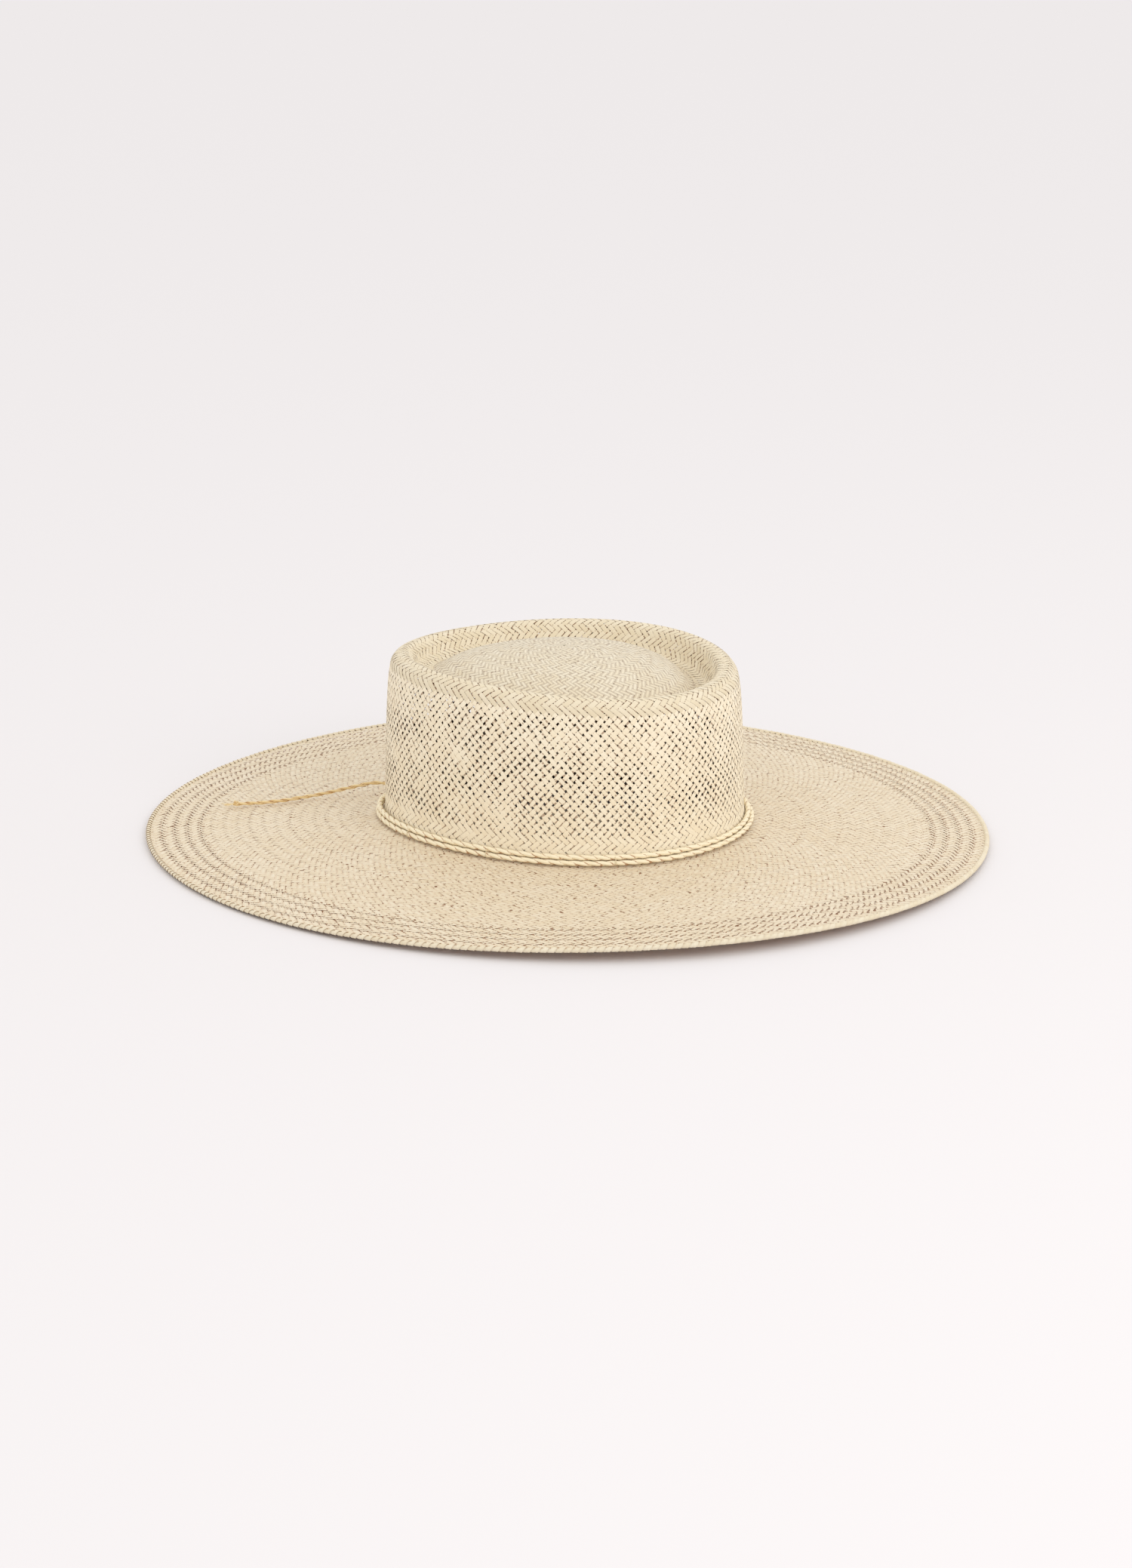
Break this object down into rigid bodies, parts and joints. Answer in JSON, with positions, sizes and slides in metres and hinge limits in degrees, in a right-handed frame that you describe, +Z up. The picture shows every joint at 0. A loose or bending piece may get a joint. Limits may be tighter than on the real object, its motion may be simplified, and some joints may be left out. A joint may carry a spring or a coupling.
{
  "type": "straw hat",
  "caption": "Wide-brimmed woven paper-straw hat with an oval telescope crown, a flat slightly wavy brim and a thin twisted cord wound twice round the crown.",
  "frame": {"origin": "middle of the underside's bounding box, on the surface that the brim rests on", "axes": "+Z up through the crown, -Y towards the narrow front of the hat, +Y towards its back, +X towards the wearer's left"},
  "size_m": [0.4228, 0.4718, 0.1067],
  "materials": {
    "straw": "woven paper straw, matt",
    "straw_braid": "braided paper straw, matt",
    "steel_wire": "drawn",
    "sweatband_cloth": "ribbed woven tape",
    "tab_tape": "ribbed woven tape",
    "label_cloth": "satin weave, blank",
    "thread": "spun thread",
    "cord": "two-strand twisted paper cord"
  },
  "bodies": {
    "hat": {"crown_tip": "straw", "crown_side": "straw", "brim": "straw", "edge_braid": "straw_braid", "edge_wire": "steel_wire", "edge_wire_joiner": "steel_wire", "sweatband": "sweatband_cloth", "sweatband_stitches": "thread", "sweatband_join_tab": "tab_tape", "label_stitches": "thread", "cord_band": "cord", "cord_knot": "cord", "cord_tacks": "thread"},
    "tail": {"cord_tail": "cord", "tail_end_knot": "cord"},
    "label": {"size_label": "label_cloth"}
  },
  "joints": [
    {"name": "tail_swing", "type": "hinge", "parent": "hat", "child": "tail", "pos_m": [-0.0372, -0.1031, 0.0108], "axis": [0, 0, 1], "range_deg": [-30, 8]},
    {"name": "label_flap", "type": "hinge", "parent": "hat", "child": "label", "pos_m": [-0.0027, 0.09416, 0.03315], "axis": [-1, 0, 0], "range_deg": [0, 70]}
  ]
}
